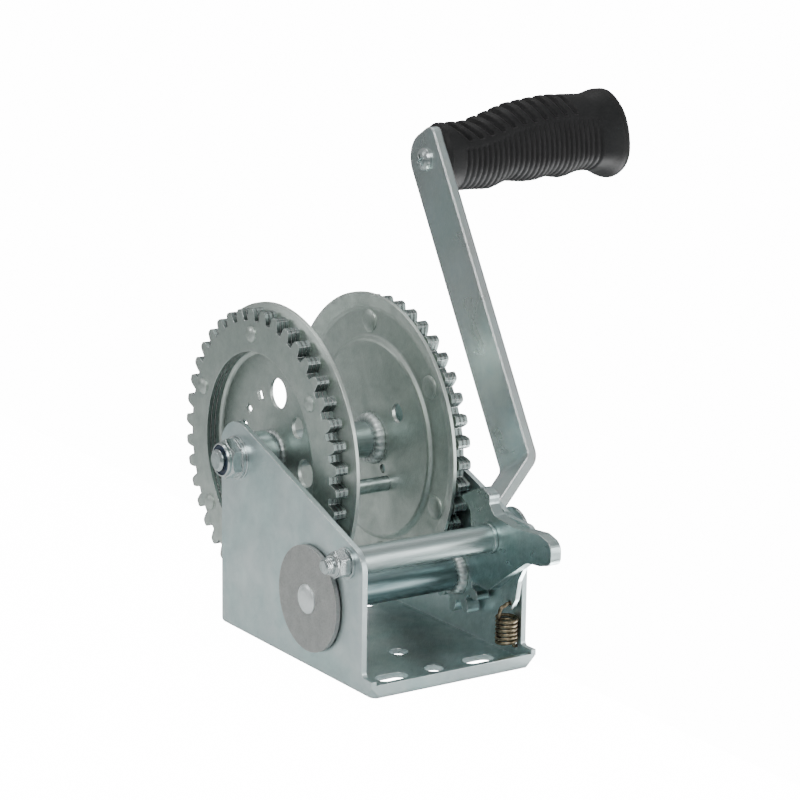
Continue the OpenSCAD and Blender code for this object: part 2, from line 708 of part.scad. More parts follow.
// The pinion's sweep as the pawl meets it when it is turned up by an angle.
module pinion_sweep(turn) {
    at_tie() rotate([turn, 0, 0]) translate([0, shaft_y - tie_y, shaft_z - tie_z])
        rod(pawl_x + pawl_face_t, pawl_x + pawl_t + 1, pawl_reach);
}
module pawl() {
    color(steel) difference() {
        at_tie() slab(pawl_x, pawl_x + pawl_t) polygon(rounded(pawl_outline));
        at_tie() rod(pawl_x - 1, pawl_x + pawl_t + 1, sleeve_r + fit);
        for (turn = [0, pawl_up]) pinion_sweep(turn);
        for (p = pawl_rivet_at)
            at_tie() translate([0, p.x, p.y]) rod(arm_x - pawl_rivet_depth, arm_x + 1, pawl_rivet_r);
    }
}
module pawl_spring_arm() {
    color(zinc) at_tie() difference() {
        slab(arm_x, arm_x + arm_t) polygon(rounded(arm_outline));
        rod(arm_x - 1, arm_x + arm_t + 1, sleeve_r + fit);
        translate([0, arm_hole.x, arm_hole.y]) rod(arm_x - 1, arm_x + arm_t + 1, arm_hole_r);
        for (p = pawl_rivet_at) translate([0, p.x, p.y]) rod(arm_x - 1, arm_x + arm_t + 1, pawl_rivet_r);
    }
}
module pawl_rivets() {
    color(zinc) at_tie() for (p = pawl_rivet_at) translate([0, p.x, p.y]) {
        rod(arm_x - pawl_rivet_depth, arm_x + arm_t, pawl_rivet_r);
        translate([arm_x + arm_t, 0, 0]) turned() dome(3.2, 1.2);
    }
}

// The pawl's extension spring: a close coil, a hook down through the frame and a hook up through the arm.
spring_turns = 6.5;
spring_rise = (spring_high - spring_low) / spring_turns;
function coil_point(t) =
    [spring_x + spring_r * cos(360 * t), spring_y + spring_r * sin(360 * t), spring_low + spring_rise * t];
spring_path = concat(
    [
        [wall + 0.8, spring_y, spring_hole_z + 2.2], [wall + 0.6, spring_y, spring_hole_z + 0.8],
        [wall - 0.6, spring_y, spring_hole_z], [inner - 0.6, spring_y, spring_hole_z],
        [inner - 1.8, spring_y, spring_hole_z + 1.2],
    ],
    [for (i = [0:spring_turns * 14]) coil_point(i / 14)],
    [
        [spring_x - spring_r * 0.9, spring_y - 0.4, spring_high + 2.2],
        [spring_x - 2.6, tie_y + arm_hole.x, tie_z + arm_hole.y - 1.6],
        [spring_x - 0.6, tie_y + arm_hole.x, tie_z + arm_hole.y],
        [arm_x, tie_y + arm_hole.x, tie_z + arm_hole.y],
        [arm_x + arm_t + 0.4, tie_y + arm_hole.x, tie_z + arm_hole.y],
        [arm_x + arm_t + 0.9, tie_y + arm_hole.x, tie_z + arm_hole.y - 1.5],
    ]
);
module pawl_spring() { color([0.4, 0.33, 0.2]) swept(spring_path, wire_r); }

frame();
axle_bolt();
axle_nut();
axle_nut_insert();
axle_washers();
drum_spacer();
drum_thrust_washer();
tie_bolt();
tie_nut();
tie_washers();
tie_tube();
pawl_sleeve();
pawl_washer();
shaft_bush_left();
shaft_bush_right();
pawl_spring();
flange_left();
flange_right();
gear_left_inner();
gear_left_middle();
gear_left_outer();
gear_right_inner();
gear_right_middle();
gear_right_outer();
rivets_left();
rivets_right();
core_tube();
weld_beads();
drum_bush_left();
drum_bush_right();
strap_bolt();
strap_nut();
crank_shaft();
pinion_left();
pinion_right();
shaft_collar();
end_disc();
crank_arm();
crank_washer();
crank_nut();
grip_screw();
grip_sleeve();
grip_nut();
grip();
grip_plug();
pawl();
pawl_spring_arm();
pawl_rivets();
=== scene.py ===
import json
import math

import bmesh
import bpy
from mathutils import Matrix, Vector


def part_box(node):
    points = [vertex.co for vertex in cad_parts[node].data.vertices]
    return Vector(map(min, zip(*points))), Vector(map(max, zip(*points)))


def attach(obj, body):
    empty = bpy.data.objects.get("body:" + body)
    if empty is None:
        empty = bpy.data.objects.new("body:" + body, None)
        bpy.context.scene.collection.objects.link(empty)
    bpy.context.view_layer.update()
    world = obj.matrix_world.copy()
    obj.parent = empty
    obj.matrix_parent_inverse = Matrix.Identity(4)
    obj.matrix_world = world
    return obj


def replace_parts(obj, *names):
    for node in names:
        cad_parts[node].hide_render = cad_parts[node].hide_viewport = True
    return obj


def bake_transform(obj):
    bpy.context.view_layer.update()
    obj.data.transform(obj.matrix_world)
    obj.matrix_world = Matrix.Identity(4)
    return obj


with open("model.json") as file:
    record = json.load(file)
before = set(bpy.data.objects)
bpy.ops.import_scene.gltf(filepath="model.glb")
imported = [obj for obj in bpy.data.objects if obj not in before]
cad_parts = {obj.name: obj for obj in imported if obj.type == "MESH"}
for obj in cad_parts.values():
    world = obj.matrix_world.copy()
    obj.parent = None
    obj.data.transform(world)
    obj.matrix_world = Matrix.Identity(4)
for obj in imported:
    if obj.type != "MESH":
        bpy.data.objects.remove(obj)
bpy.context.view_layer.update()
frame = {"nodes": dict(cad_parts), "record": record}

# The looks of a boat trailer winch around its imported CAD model. Lengths are in metres.
# +X is the crank side, -Y the open front, +Z up. The origin is the middle of the base's underside.

MM = 0.001
nodes = frame["nodes"]
joints = {j["name"]: Vector(j["pos_m"]) for j in frame["record"]["behaviour"]["joints"]}
shaft = joints["crank_spin"]
axle = joints["drum_spin"]
pivot = joints["pawl_swing"]
grip_axis = joints["grip_spin"]


def low(node):
    """A CAD node's lowest corner."""
    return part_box(node)[0]


def high(node):
    """A CAD node's highest corner."""
    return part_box(node)[1]


# ---------------------------------------------------------------- camera, light and floor

CAMERA_AZIMUTH = math.radians(-33.72)
CAMERA_ELEVATION = math.radians(13.09)
CAMERA_ROLL = math.radians(0.765)
CAMERA_AIM = Vector((0.0139, 0.0, 0.1325))
CAMERA_DISTANCE = 1.3924
CAMERA_LENS_MM = 119.2
SENSOR_MM = 36.0

BACKDROP_SEEN = 15.0
BACKDROP_LIGHT = 0.50


def add_camera():
    """A long lens from the front left, a little above the drum."""
    data = bpy.data.cameras.new("camera")
    data.lens = CAMERA_LENS_MM
    data.sensor_width = SENSOR_MM
    back = Vector((
        math.sin(CAMERA_AZIMUTH) * math.cos(CAMERA_ELEVATION),
        -math.cos(CAMERA_AZIMUTH) * math.cos(CAMERA_ELEVATION),
        math.sin(CAMERA_ELEVATION),
    ))
    right = Vector((0, 0, 1)).cross(back).normalized()
    up = back.cross(right)
    axes = Matrix((right, up, back)).transposed() @ Matrix.Rotation(CAMERA_ROLL, 3, "Z")
    camera = bpy.data.objects.new("camera", data)
    camera.matrix_world = Matrix.Translation(CAMERA_AIM + back * CAMERA_DISTANCE) @ axes.to_4x4()
    bpy.context.scene.collection.objects.link(camera)
    bpy.context.scene.camera = camera


def add_area_light(name, place, aim, width, height, power):
    """A soft box at place that faces aim."""
    data = bpy.data.lights.new(name, "AREA")
    data.shape = "RECTANGLE"
    data.size = width
    data.size_y = height
    data.energy = power
    light = bpy.data.objects.new(name, data)
    light.location = place
    light.rotation_euler = (Vector(aim) - Vector(place)).to_track_quat("-Z", "Y").to_euler()
    bpy.context.scene.collection.objects.link(light)


def add_world():
    """A white backdrop that lights the object only as a dim room, paler above than below."""
    world = bpy.data.worlds.new("studio")
    world.use_nodes = True
    tree = world.node_tree
    seen = tree.nodes["Background"]
    seen.inputs["Color"].default_value = (1, 1, 1, 1)
    seen.inputs["Strength"].default_value = BACKDROP_SEEN
    direction = tree.nodes.new("ShaderNodeTexCoord")
    split = tree.nodes.new("ShaderNodeSeparateXYZ")
    height = tree.nodes.new("ShaderNodeMapRange")
    shade = tree.nodes.new("ShaderNodeValToRGB")
    room = tree.nodes.new("ShaderNodeBackground")
    path = tree.nodes.new("ShaderNodeLightPath")
    mix = tree.nodes.new("ShaderNodeMixShader")
    tree.links.new(direction.outputs["Generated"], split.inputs[0])
    tree.links.new(split.outputs["Z"], height.inputs["Value"])
    height.inputs["From Min"].default_value = -1.0
    tree.links.new(height.outputs["Result"], shade.inputs["Fac"])
    stops = shade.color_ramp.elements
    stops[0].position = 0.0
    stops[0].color = (0.50, 0.58, 0.58, 1)
    stops[1].position = 1.0
    stops[1].color = (1.0, 1.0, 1.0, 1)
    tree.links.new(shade.outputs["Color"], room.inputs["Color"])
    room.inputs["Strength"].default_value = BACKDROP_LIGHT
    tree.links.new(path.outputs["Is Camera Ray"], mix.inputs["Fac"])
    tree.links.new(room.outputs[0], mix.inputs[1])
    tree.links.new(seen.outputs[0], mix.inputs[2])
    tree.links.new(mix.outputs[0], tree.nodes["World Output"].inputs["Surface"])
    bpy.context.scene.world = world


def add_floor():
    """A pale bench top. Its edge is just past the base on the crank's side, so that the crank can turn."""
    edge_x = high("frame").x + 4 * MM
    mesh = bpy.data.meshes.new("floor")
    mesh.from_pydata([(-3, -3, 0), (edge_x, -3, 0), (edge_x, 3, 0), (-3, 3, 0)], [], [(0, 1, 2, 3)])
    floor = bpy.data.objects.new("floor", mesh)
    bpy.context.scene.collection.objects.link(floor)
    look = bpy.data.materials.new("floor")
    look.use_nodes = True
    tree = look.node_tree
    principled = tree.nodes["Principled BSDF"]
    principled.inputs["Roughness"].default_value = 0.7
    # The bench's colour is palest round the object and darkens further out: a painted pool of light.
    place = tree.nodes.new("ShaderNodeTexCoord")
    distance = tree.nodes.new("ShaderNodeVectorMath")
    distance.operation = "LENGTH"
    tree.links.new(place.outputs["Object"], distance.inputs[0])
    fade = tree.nodes.new("ShaderNodeValToRGB")
    tree.links.new(distance.outputs["Value"], fade.inputs["Fac"])
    near, far = fade.color_ramp.elements
    near.position = 0.2
    near.color = (0.85, 0.86, 0.86, 1)
    far.position = 0.9
    far.color = (0.2, 0.23, 0.23, 1)
    tree.links.new(fade.outputs["Color"], principled.inputs["Base Color"])
    path = tree.nodes.new("ShaderNodeLightPath")
    glow = tree.nodes.new("ShaderNodeMath")
    glow.operation = "MULTIPLY"
    glow.inputs[1].default_value = BACKDROP_SEEN
    tree.links.new(path.outputs["Is Camera Ray"], glow.inputs[0])
    tree.links.new(glow.outputs[0], principled.inputs["Emission Strength"])
    principled.inputs["Emission Color"].default_value = (1, 1, 1, 1)
    mesh.materials.append(look)


def add_studio():
    aim = (0.02, 0.0, 0.12)
    add_world()
    add_floor()
    add_area_light("key", (-0.9, -1.1, 1.5), aim, 0.9, 0.9, 18)
    add_area_light("front", (0.95, -1.35, 0.25), aim, 0.45, 1.3, 11)
    add_area_light("below", (0.62, -0.13, -0.6), (0.1, 0.05, 0.2), 0.6, 0.9, 26)
    add_area_light("side", (-1.5, 1.1, 0.9), aim, 0.5, 0.5, 4)
    add_area_light("top", (0.2, 0.4, 1.8), aim, 1.2, 0.8, 12)


add_camera()
add_studio()

# ---------------------------------------------------------------- material building blocks


class Look:
    """A Principled material whose node tree is built a step at a time."""

    def __init__(self, name):
        self.material = bpy.data.materials.new(name)
        self.material.use_nodes = True
        self.tree = self.material.node_tree
        self.principled = self.tree.nodes["Principled BSDF"]
        self.place = self.node("ShaderNodeTexCoord").outputs["Object"]

    def node(self, kind, **settings):
        made = self.tree.nodes.new(kind)
        for key, value in settings.items():
            setattr(made, key, value)
        return made

    def feed(self, socket, value):
        """Links an output to a socket, or sets the socket to a plain value."""
        if isinstance(value, bpy.types.NodeSocket):
            self.tree.links.new(value, socket)
        else:
            socket.default_value = value

    def math(self, operation, a, b=0.0, clamp=False):
        made = self.node("ShaderNodeMath", operation=operation, use_clamp=clamp)
        self.feed(made.inputs[0], a)
        self.feed(made.inputs[1], b)
        return made.outputs[0]

    def stretched(self, scale=(1, 1, 1), centre=(0, 0, 0)):
        """The place on the object, measured from a centre and stretched along the axes."""
        moved = self.node("ShaderNodeVectorMath", operation="SUBTRACT")
        self.feed(moved.inputs[0], self.place)
        moved.inputs[1].default_value = centre
        sized = self.node("ShaderNodeVectorMath", operation="MULTIPLY")
        self.feed(sized.inputs[0], moved.outputs[0])
        sized.inputs[1].default_value = scale
        return sized.outputs[0]

    def noise(self, size, detail=3.0, rough=0.55, place=None, distortion=0.0):
        """Noise whose features are about size metres."""
        made = self.node("ShaderNodeTexNoise")
        self.feed(made.inputs["Vector"], place or self.place)
        made.inputs["Scale"].default_value = 1.0 / size
        made.inputs["Detail"].default_value = detail
        made.inputs["Roughness"].default_value = rough
        made.inputs["Distortion"].default_value = distortion
        return made.outputs["Fac"]

    def cells(self, size, place=None):
        made = self.node("ShaderNodeTexVoronoi")
        self.feed(made.inputs["Vector"], place or self.place)
        made.inputs["Scale"].default_value = 1.0 / size
        return made.outputs["Distance"]

    def spread(self, value, low_in, high_in, low_out, high_out):
        """Maps one span of values onto another, clamped."""
        made = self.node("ShaderNodeMapRange")
        self.feed(made.inputs["Value"], value)
        made.inputs["From Min"].default_value = low_in
        made.inputs["From Max"].default_value = high_in
        made.inputs["To Min"].default_value = low_out
        made.inputs["To Max"].default_value = high_out
        return made.outputs["Result"]

    def ramp(self, factor, *stops):
        """Colours along a factor, each stop (position, colour)."""
        made = self.node("ShaderNodeValToRGB")
        self.feed(made.inputs["Fac"], factor)
        elements = made.color_ramp.elements
        while len(elements) < len(stops):
            elements.new(0.5)
        for element, (position, colour) in zip(elements, stops):
            element.position = position
            element.color = (*colour, 1)
        return made.outputs["Color"]

    def mix(self, factor, a, b, blend="MIX"):
        made = self.node("ShaderNodeMixRGB", blend_type=blend)
        self.feed(made.inputs["Fac"], factor)
        for socket, value in (("Color1", a), ("Color2", b)):
            self.feed(made.inputs[socket], value if isinstance(value, bpy.types.NodeSocket) else (*value, 1))
        return made.outputs["Color"]

    def speckled(self, colour, speck, amount, darkest, clear=0.65):
        """The colour, darkened in places by a fine noise."""
        shade = self.ramp(speck, (0.35, (darkest,) * 3), (clear, (1, 1, 1)))
        return self.mix(amount, colour, shade, "MULTIPLY")

    def polished(self, rough, edges, amount):
        """A roughness that is lower by amount along the edges."""
        return self.math("SUBTRACT", rough, self.math("MULTIPLY", edges, amount), clamp=True)

    def along_x(self, vector):
        split = self.node("ShaderNodeSeparateXYZ")
        self.feed(split.inputs[0], vector)
        return split.outputs["X"]

    def bump(self, height, depth, normal=None):
        """A bump whose height runs from 0 to 1 over depth metres."""
        made = self.node("ShaderNodeBump")
        self.feed(made.inputs["Height"], height)
        made.inputs["Distance"].default_value = depth
        if normal:
            self.feed(made.inputs["Normal"], normal)
        return made.outputs["Normal"]

    def rounded(self, radius):
        """Normals that round the edges off, and a mask that is 1 along those edges."""
        bevel = self.node("ShaderNodeBevel", samples=4)
        bevel.inputs["Radius"].default_value = radius
        faces = self.node("ShaderNodeNewGeometry")
        dot = self.node("ShaderNodeVectorMath", operation="DOT_PRODUCT")
        self.feed(dot.inputs[0], bevel.outputs[0])
        self.feed(dot.inputs[1], faces.outputs["Normal"])
        return bevel.outputs[0], self.spread(dot.outputs["Value"], 0.995, 0.86, 0.0, 1.0)

    def finish(self, colour, metallic, rough, normal=None):
        self.feed(self.principled.inputs["Base Color"], colour)
        self.principled.inputs["Metallic"].default_value = metallic
        self.feed(self.principled.inputs["Roughness"], rough)
        if normal:
            self.feed(self.principled.inputs["Normal"], normal)
        return self.material


# ---------------------------------------------------------------- materials


def plated(name, dark, pale, edge, rough, mottle=14 * MM, edge_radius=0.45 * MM, streaks=(1, 1, 1)):
    """Zinc plated steel: cloudy colour, a faint tint, fine grain, and smoother edges whose paler colour is
    partly wear and partly a painted highlight.
    """
    look = Look(name)
    place = look.stretched(streaks)
    cloud = look.noise(mottle, 4.0, 0.6, place, 0.3)
    tint = look.noise(mottle * 2.6, 2.0, 0.5, place)
    speck = look.noise(0.5 * MM, 2.0, 0.7, place)
    colour = look.ramp(cloud, (0.3, dark), (0.72, pale))
    tints = look.ramp(tint, (0.3, (0.93, 1.0, 0.99)), (0.5, (1.0, 1.0, 1.0)), (0.7, (1.0, 0.965, 0.98)))
    colour = look.mix(0.8, colour, tints, "MULTIPLY")
    colour = look.speckled(colour, speck, 0.35, 0.82)
    normal, edges = look.rounded(edge_radius)
    # Paler edges: partly wear, partly a painted highlight.
    colour = look.mix(edges, colour, edge)
    roughness = look.polished(look.spread(cloud, 0.35, 0.7, rough + 0.09, rough - 0.04), edges, 0.1)
    normal = look.bump(speck, 0.012 * MM, normal)
    normal = look.bump(look.noise(mottle * 0.5, 2.0, 0.5, place), 0.05 * MM, normal)
    return look.finish(colour, 1.0, roughness, normal)


def drum_steel():
    """The drum's stamped plates: greener, duller plating with faint rings round the axle."""
    look = Look("drum_steel")
    around = look.stretched((1, 1, 1), tuple(axle))
    rings = look.node("ShaderNodeTexWave", wave_type="RINGS", rings_direction="X")
    look.feed(rings.inputs["Vector"], around)
    rings.inputs["Scale"].default_value = 260.0
    rings.inputs["Distortion"].default_value = 3.0
    rings.inputs["Detail"].default_value = 2.0
    cloud = look.noise(18 * MM, 5.0, 0.6, None, 0.4)
    speck = look.noise(0.6 * MM, 2.0, 0.7)
    colour = look.ramp(cloud, (0.3, (0.48, 0.545, 0.515)), (0.7, (0.62, 0.68, 0.64)))
    colour = look.speckled(colour, speck, 0.35, 0.78)
    normal, edges = look.rounded(0.35 * MM)
    # Paler edges: partly wear, partly a painted highlight.
    colour = look.mix(edges, colour, (0.78, 0.80, 0.78))
    roughness = look.polished(look.spread(cloud, 0.35, 0.7, 0.5, 0.38), edges, 0.14)
    normal = look.bump(rings.outputs["Fac"], 0.006 * MM, normal)
    normal = look.bump(speck, 0.014 * MM, normal)
    return look.finish(colour, 1.0, roughness, normal)


def gear_steel():
    """Stamped plates: faces like the drum's, edge faces darkened as painted shade, painted shade at the seams
    between the plates, and paler rims, partly wear and partly a painted highlight.
    """
    look = Look("gear_steel")
    cloud = look.noise(12 * MM, 4.0, 0.6)
    speck = look.noise(0.6 * MM, 2.0, 0.7)
    colour = look.ramp(cloud, (0.3, (0.46, 0.525, 0.495)), (0.7, (0.60, 0.66, 0.62)))
    # Faces that don't face along X, the plates' edge faces and tooth flanks, are darkened: painted shade.
    faces = look.node("ShaderNodeNewGeometry")
    facing_x = look.math("ABSOLUTE", look.along_x(faces.outputs["Normal"]))
    edge_face_shade = look.spread(facing_x, 0.5, 0.2, 0.0, 1.0)
    colour = look.mix(edge_face_shade, colour, (0.20, 0.245, 0.235))
    x = look.along_x(look.place)
    seams = [
        high("gear_left_outer").x, low("gear_left_inner").x,
        high("gear_right_inner").x, low("gear_right_outer").x,
    ]
    # Near-black bands at the seams between the stacked plates: painted shade in the gaps.
    for seam in seams:
        gap = look.math("ABSOLUTE", look.math("SUBTRACT", x, seam))
        colour = look.mix(look.spread(gap, 0.3 * MM, 0.7 * MM, 0.95, 0.0), colour, (0.02, 0.025, 0.025))
    normal, edges = look.rounded(0.5 * MM)
    # Paler edges: partly wear, partly a painted highlight.
    colour = look.mix(look.math("MULTIPLY", edges, 0.8), colour, (0.85, 0.88, 0.87))
    roughness = look.polished(look.spread(cloud, 0.35, 0.7, 0.46, 0.36), edges, 0.16)
    return look.finish(colour, 1.0, roughness, look.bump(speck, 0.014 * MM, normal))


def shaft_steel():
    """The crank shaft: a dark colour where it runs between the plates, which is painted shade, and a pale
    riveted left end, which is a painted highlight.
    """
    look = Look("shaft_steel")
    drawn = look.noise(3 * MM, 4.0, 0.6, look.stretched((0.06, 1, 1)), 0.3)
    speck = look.noise(0.5 * MM, 2.0, 0.7)
    # The shaft's dark colour is painted shade.
    colour = look.ramp(drawn, (0.3, (0.13, 0.20, 0.21)), (0.7, (0.26, 0.35, 0.36)))
    outside = low("frame").x
    # The pale left end is a painted highlight.
    left_end_highlight = look.spread(look.along_x(look.place), outside, outside + 1 * MM, 1.0, 0.0)
    colour = look.mix(left_end_highlight, colour, (0.90, 0.95, 0.95))
    normal, edges = look.rounded(0.35 * MM)
    # Paler edges: partly wear, partly a painted highlight.
    colour = look.mix(look.math("MULTIPLY", edges, 0.6), colour, (0.90, 0.93, 0.93))
    roughness = look.spread(drawn, 0.35, 0.7, 0.46, 0.34)
    return look.finish(colour, 1.0, roughness, look.bump(speck, 0.012 * MM, normal))


def dull_plate():
    """The end disc: flat grey, finely pitted."""
    look = Look("dull_plate")
    cloud = look.noise(9 * MM, 4.0, 0.6)
    pits = look.noise(0.7 * MM, 3.0, 0.75)
    colour = look.ramp(cloud, (0.3, (0.40, 0.41, 0.405)), (0.7, (0.50, 0.51, 0.50)))
    colour = look.speckled(colour, pits, 0.5, 0.72, clear=0.6)
    normal, edges = look.rounded(0.4 * MM)
    # Paler edges: partly wear, partly a painted highlight.
    colour = look.mix(edges, colour, (0.7, 0.71, 0.7))
    roughness = look.spread(pits, 0.3, 0.7, 0.62, 0.5)
    return look.finish(colour, 0.85, roughness, look.bump(pits, 0.03 * MM, normal))


def weld():
    """A plated weld bead: rippled, bright on its crests."""
    look = Look("weld")
    ripple = look.noise(2.2 * MM, 3.0, 0.6, None, 0.8)
    colour = look.ramp(ripple, (0.3, (0.46, 0.51, 0.50)), (0.65, (0.66, 0.71, 0.70)))
    return look.finish(colour, 1.0, look.spread(ripple, 0.3, 0.7, 0.55, 0.40), look.bump(ripple, 0.1 * MM))


def bush_bronze():
    """Sintered bronze: porous and oil-stained."""
    look = Look("bush_bronze")
    pores = look.cells(0.35 * MM)
    stain = look.noise(5 * MM, 4.0, 0.6)
    colour = look.ramp(stain, (0.3, (0.24, 0.17, 0.08)), (0.7, (0.50, 0.37, 0.19)))
    normal, _ = look.rounded(0.3 * MM)
    roughness = look.spread(stain, 0.3, 0.7, 0.5, 0.34)
    return look.finish(colour, 1.0, roughness, look.bump(pores, 0.02 * MM, normal))


def spring_wire():
    """Bronze-yellow passivated spring wire, with drawing marks and blotchy stains."""
    look = Look("spring_wire")
    stain = look.noise(2.5 * MM, 3.0, 0.6)
    stops = (0.3, (0.07, 0.056, 0.036)), (0.5, (0.20, 0.165, 0.11)), (0.72, (0.46, 0.40, 0.29))
    colour = look.ramp(stain, *stops)
    marks = look.noise(0.25 * MM, 2.0, 0.6)
    return look.finish(colour, 1.0, look.spread(stain, 0.3, 0.7, 0.42, 0.26), look.bump(marks, 0.01 * MM))


def nylon():
    """The lock nut's dark blue nylon ring."""
    look = Look("nylon")
    cloud = look.noise(1.5 * MM, 3.0, 0.6)
    colour = look.ramp(cloud, (0.3, (0.008, 0.018, 0.045)), (0.7, (0.02, 0.045, 0.10)))
    normal, _ = look.rounded(0.25 * MM)
    roughness = look.spread(cloud, 0.3, 0.7, 0.42, 0.3)
    return look.finish(colour, 0.0, roughness, look.bump(cloud, 0.04 * MM, normal))


def grip_rubber():
    """Satin black moulded rubber: fine matt grain with paler dust on raised parts."""
    look = Look("grip_rubber")
    grain = look.noise(0.4 * MM, 3.0, 0.7)
    cloud = look.noise(12 * MM, 3.0, 0.6)
    colour = look.ramp(cloud, (0.3, (0.014, 0.014, 0.0145)), (0.7, (0.020, 0.020, 0.0205)))
    colour = look.speckled(colour, grain, 0.4, 0.6)
    roughness = look.math("ADD", look.spread(cloud, 0.3, 0.7, 0.40, 0.48), look.math("MULTIPLY", grain, 0.12))
    look.principled.inputs["Specular IOR Level"].default_value = 0.15
    return look.finish(colour, 0.0, roughness, look.bump(grain, 0.03 * MM))


# Pale edge colour: partly worn zinc, partly a painted highlight.
ZINC_WORN_EDGE_AND_HIGHLIGHT = (0.90, 0.93, 0.93)
looks = {
    "zinc_plate": plated("zinc_plate", (0.55, 0.665, 0.67), (0.68, 0.78, 0.78), ZINC_WORN_EDGE_AND_HIGHLIGHT, 0.34),
    "zinc_fasteners": plated(
        "zinc_fasteners", (0.44, 0.50, 0.50), (0.64, 0.69, 0.69), ZINC_WORN_EDGE_AND_HIGHLIGHT, 0.17,
        mottle=5 * MM, edge_radius=0.4 * MM,
    ),
    "drum_steel": drum_steel(),
    "steel": plated("steel", (0.40, 0.51, 0.505), (0.55, 0.65, 0.64), ZINC_WORN_EDGE_AND_HIGHLIGHT, 0.30, mottle=8 * MM),
    "dull_plate": dull_plate(),
    "weld": weld(),
    "bush_bronze": bush_bronze(),
    "spring_wire": spring_wire(),
    "nylon": nylon(),
    "grip_rubber": grip_rubber(),
}
drawn_tube = plated(
    "drawn_tube", (0.32, 0.40, 0.40), (0.49, 0.56, 0.55), ZINC_WORN_EDGE_AND_HIGHLIGHT, 0.38,
    mottle=3 * MM, streaks=(0.06, 1, 1), edge_radius=0.35 * MM,
)
# Its near-white edge colour over a wide 1.6 mm band is a painted highlight along the bar's narrow faces.
crank_bar = plated(
    "crank_bar", (0.56, 0.64, 0.65), (0.70, 0.75, 0.73), (0.99, 0.99, 0.99), 0.28,
    mottle=20 * MM, edge_radius=1.6 * MM,
)
special = {
    "tie_tube": drawn_tube,
    "core_tube": drawn_tube,
    "crank_shaft": shaft_steel(),
    "crank_arm": crank_bar,
}
gear_plates = [name for name in nodes if name.startswith("gear_")]
special.update(dict.fromkeys(gear_plates, gear_steel()))

slots = {s["node"]: s["material_slot"] for s in frame["record"]["subparts"]}
for name, piece in nodes.items():
    piece.data.materials.clear()
    piece.data.materials.append(special.get(name, looks[slots[name]]))

# The stamped gear plates have rolled edges, which show as grooves between the plates of a stack.
for name in gear_plates:
    rolled = nodes[name].modifiers.new("rolled_edges", "BEVEL")
    rolled.width = 0.6 * MM
    rolled.segments = 2
    rolled.limit_method = "ANGLE"
    rolled.angle_limit = math.radians(40)

# ---------------------------------------------------------------- mesh building blocks


def add_piece(name, verts, faces, body, slot_name, smooth=True):
    """A new mesh piece that rides on a body and takes its finish from a slot."""
    mesh = bpy.data.meshes.new(name)
    mesh.from_pydata(verts, [], faces)
    mesh.update()
    work = bmesh.new()
    work.from_mesh(mesh)
    bmesh.ops.recalc_face_normals(work, faces=work.faces)
    work.to_mesh(mesh)
    work.free()
    for face in mesh.polygons:
        face.use_smooth = smooth
    piece = bpy.data.objects.new(name, mesh)
    bpy.context.scene.collection.objects.link(piece)
    mesh.materials.append(looks[slot_name])
    if body:
        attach(piece, body)
    return piece


def loft_faces(rings, around, closed=False):
    """Quads between rings of points. A closed loft joins its last ring to its first."""
    count = rings if closed else rings - 1
    return [
        (i * around + k, i * around + (k + 1) % around,
         (i + 1) % rings * around + (k + 1) % around, (i + 1) % rings * around + k)
        for i in range(count)
        for k in range(around)
    ]


def sweep(points, radius, sides):
    """A round wire along points, with domed ends."""
    verts = []
    last = len(points) - 1
    side = Vector((0, 0, 1))
    for i, point in enumerate(points):
        run = (points[min(i + 1, last)] - points[max(i - 1, 0)]).normalized()
        side = (side - run * side.dot(run)).normalized()
        other = run.cross(side)
        size = radius * (0.55 if i in (0, last) else 1.0)
        for k in range(sides):
            turn = 2 * math.pi * k / sides
            verts.append(point + (side * math.cos(turn) + other * math.sin(turn)) * size)
    faces = loft_faces(len(points), sides)
    faces.append(tuple(range(sides)))
    faces.append(tuple(last * sides + k for k in reversed(range(sides))))
    return verts, faces


def smooth_path(points):
    """A Catmull-Rom curve through points, with three steps to a span."""
    path = []
    for i in range(len(points) - 1):
        a, b, c, d = (points[min(max(j, 0), len(points) - 1)] for j in (i - 1, i, i + 1, i + 2))
        for t in (0, 1 / 3, 2 / 3):
            path.append(0.5 * (2 * b + (c - a) * t + (2 * a - 5 * b + 4 * c - d) * t * t
                               + (3 * b - a - 3 * c + d) * t * t * t))
    return path + [points[-1]]


def lookup(x, table):
    """A value from a table of [place, value], straight between its rows."""
    for (x0, v0), (x1, v1) in zip(table, table[1:]):
        if x <= x1:
            return v0 + (v1 - v0) * max(x - x0, 0) / (x1 - x0)
    return table[-1][1]


def soft(x, table, reach):
    """The table's value with its corners rounded."""
    near = ((-1, 1), (-0.5, 2), (0, 3), (0.5, 2), (1, 1))
    return sum(lookup(x + reach * step, table) * weight for step, weight in near) / 9


# ---------------------------------------------------------------- grip

# The grip's height above and depth below its axis and its half width, in millimetres along a length of 127.
GRIP_TABLE_L = 127
GRIP_TOP = [
    (0, 18.2), (2.5, 20.4), (20, 20.4), (34, 24.5), (48, 29), (62, 31), (76, 32.5), (102, 31.6), (111, 34),
    (119, 34), (124, 28.5), (127, 15),
]
GRIP_LOW = [
    (0, 18), (2.5, 19.2), (23, 19.1), (35, 19.7), (45, 15.6), (59, 17.1), (66, 16.9), (74, 14.9), (85, 16.7),
    (94, 13.7), (102, 13.3), (110, 14.3), (116, 17.7), (120, 19.5), (124, 17.5), (127, 12.5),
]
GRIP_SIDE = [
    (0, 14.5), (2.5, 16), (18, 17.4), (62, 19.2), (100, 18.7), (110, 21.7), (119, 23.7), (124, 20), (127, 13),
]
